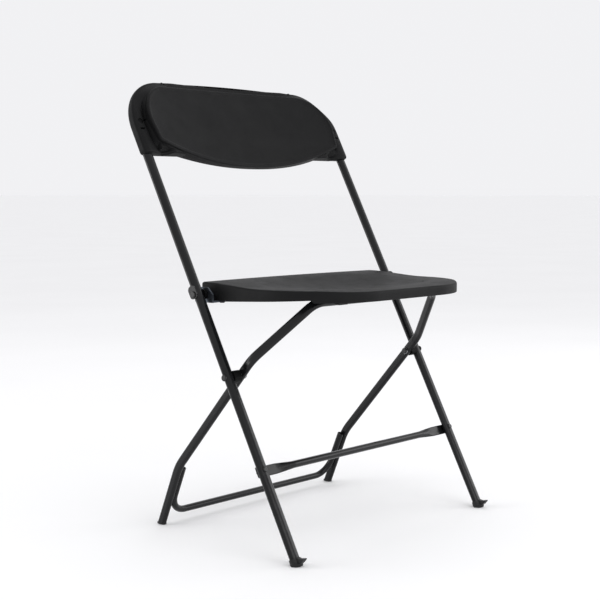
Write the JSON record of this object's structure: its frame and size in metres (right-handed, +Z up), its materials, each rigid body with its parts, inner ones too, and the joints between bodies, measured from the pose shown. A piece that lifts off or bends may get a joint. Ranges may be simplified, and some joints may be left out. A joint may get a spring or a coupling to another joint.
{
  "type": "folding chair",
  "caption": "Folding chair with a moulded seat and backrest on a black flat-oval steel frame, the rear legs crossing the front tubes and folding forward as the seat tips up",
  "frame": {"origin": "centre of the bounding box in plan, on the floor under the feet", "axes": "+Z up, -Y the way the chair faces, +X to the left of someone sitting on it"},
  "size_m": [0.5278, 0.436, 0.7669],
  "materials": {
    "black_steel": "semi-gloss black enamel",
    "black_plastic": "fine-textured black plastic",
    "foot_plastic": "matt black foot",
    "spacer_plastic": "matt black spacer",
    "saddle_plastic": "matt black hook",
    "washer_steel": "bright washer",
    "rivet_steel": "black rivet",
    "zinc_steel": "blue-grey zinc plating",
    "screw_steel": "dark screw"
  },
  "bodies": {
    "front_frame": {"front_tube_left": "black_steel", "front_tube_right": "black_steel", "front_foot_left": "foot_plastic", "front_foot_right": "foot_plastic", "front_crossbar": "black_steel", "crossbar_rivets": "rivet_steel", "leg_pivot_spacer_left": "spacer_plastic", "leg_pivot_spacer_right": "spacer_plastic", "leg_pivot_washers_left": "washer_steel", "leg_pivot_washers_right": "washer_steel", "leg_pivot_rivet_left": "rivet_steel", "leg_pivot_rivet_right": "rivet_steel", "seat_pivot_plate_left": "black_steel", "seat_pivot_plate_right": "black_steel", "seat_pivot_washer_left": "spacer_plastic", "seat_pivot_washer_right": "spacer_plastic", "seat_pivot_rivet_left": "rivet_steel", "seat_pivot_rivet_right": "rivet_steel", "backrest": "black_plastic", "backrest_screws": "screw_steel"},
    "rear_frame": {"rear_frame": "black_steel", "rear_brace": "black_steel", "rear_foot_left": "foot_plastic", "rear_foot_right": "foot_plastic"},
    "seat": {"seat_shell": "black_plastic", "seat_bracket_left": "zinc_steel", "seat_bracket_right": "zinc_steel", "seat_bracket_screws": "screw_steel", "bar_saddle_left": "saddle_plastic", "bar_saddle_right": "saddle_plastic", "bar_saddle_screws": "screw_steel"}
  },
  "joints": [
    {"name": "rear_frame_fold", "type": "hinge", "parent": "front_frame", "child": "rear_frame", "pos_m": [0, -0.04038, 0.28006], "axis": [-1, 0, 0], "range_deg": [0, 61.8]},
    {"name": "seat_fold", "type": "hinge", "parent": "front_frame", "child": "seat", "pos_m": [0, 0.02814, 0.41], "axis": [-1, 0, 0], "range_deg": [0, 113.02]}
  ],
  "couplings": [
    {"joint": "seat_fold", "follows": "rear_frame_fold", "ratio": 1.8285}
  ]
}
